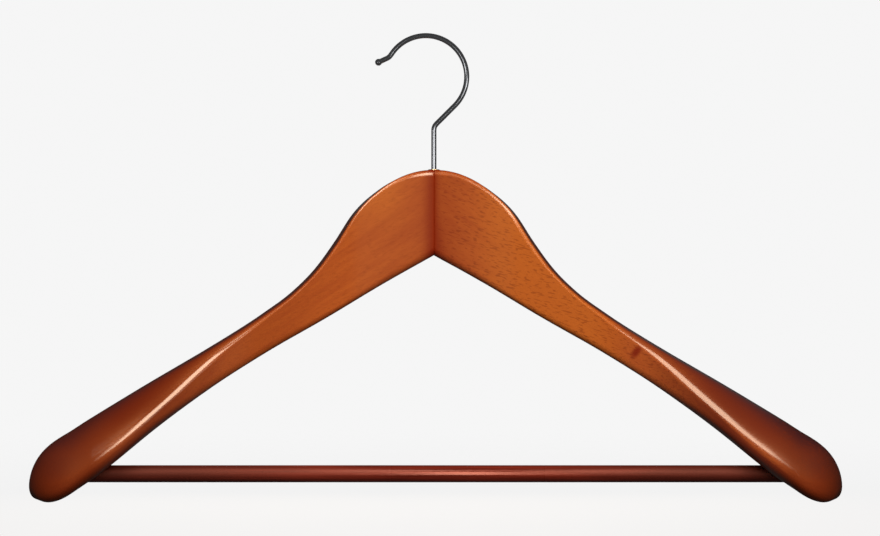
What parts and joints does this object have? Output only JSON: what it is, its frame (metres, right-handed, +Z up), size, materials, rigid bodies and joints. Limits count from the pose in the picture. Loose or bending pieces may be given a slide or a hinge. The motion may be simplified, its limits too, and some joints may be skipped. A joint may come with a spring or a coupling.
{
  "type": "trouser hanger",
  "caption": "Contoured wooden suit hanger with broad rounded shoulders, a round trouser bar and a swivelling wire hook.",
  "frame": {"origin": "on the hook's swivel axis, at the inside of the hook where it rests on a rail", "axes": "+X to the viewer's right along the hanger's width, +Y away from the viewer towards the wearer's back, +Z up along the hook's shank"},
  "size_m": [0.4512, 0.0892, 0.2645],
  "materials": {
    "arm_wood": "red-brown stained beech under a gloss lacquer",
    "bar_wood": "dark red-brown stained beech under a gloss lacquer",
    "hook_chrome": "bright plated steel wire",
    "ferrule_brass": "dull thin-walled bush",
    "washer_steel": "plain stamped washer",
    "pin_steel": "plain headless brad"
  },
  "bodies": {
    "hook": {"hook": "hook_chrome"},
    "hanger": {"left_arm": "arm_wood", "right_arm": "arm_wood", "trouser_bar": "bar_wood", "left_bar_pin": "pin_steel", "right_bar_pin": "pin_steel", "hook_ferrule": "ferrule_brass", "hook_washer": "washer_steel"}
  },
  "joints": [
    {"name": "hook_swivel", "type": "hinge", "parent": "hook", "child": "hanger", "pos_m": [0, 0, -0.07581], "axis": [0, 0, 1], "continuous": true}
  ]
}
